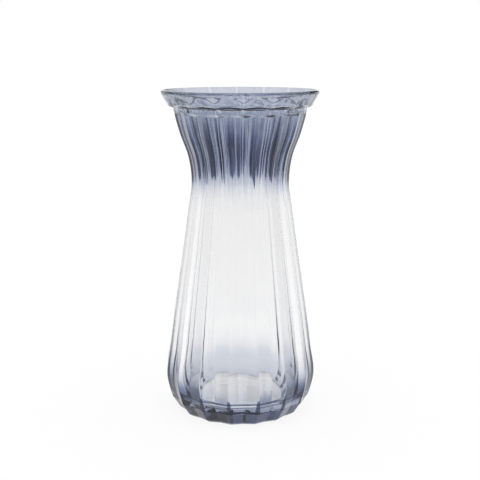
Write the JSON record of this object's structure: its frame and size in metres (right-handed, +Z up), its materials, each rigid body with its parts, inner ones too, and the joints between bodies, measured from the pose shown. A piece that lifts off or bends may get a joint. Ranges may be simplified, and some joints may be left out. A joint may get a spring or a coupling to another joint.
{
  "type": "fluted glass vase",
  "caption": "Fluted glass flower vase with a thick base, a tapering body, a narrow waist and a flared collar, clear glass fading to blue at both ends.",
  "frame": {"origin": "centre of the foot, on the plane that the vase stands on", "axes": "+Z up along the vase's axis, -Y towards the camera of the picture"},
  "size_m": [0.0962, 0.0962, 0.2],
  "materials": {
    "blue_glass_upper": "gloss",
    "clear_glass": "gloss",
    "blue_glass_lower": "gloss"
  },
  "bodies": {
    "root": {"base_floor": "blue_glass_lower", "fluted_heel": "blue_glass_lower", "fluted_belly": "blue_glass_lower", "fluted_body": "clear_glass", "fluted_waist": "blue_glass_upper", "fluted_neck": "blue_glass_upper", "rim_collar": "blue_glass_upper"}
  },
  "joints": []
}
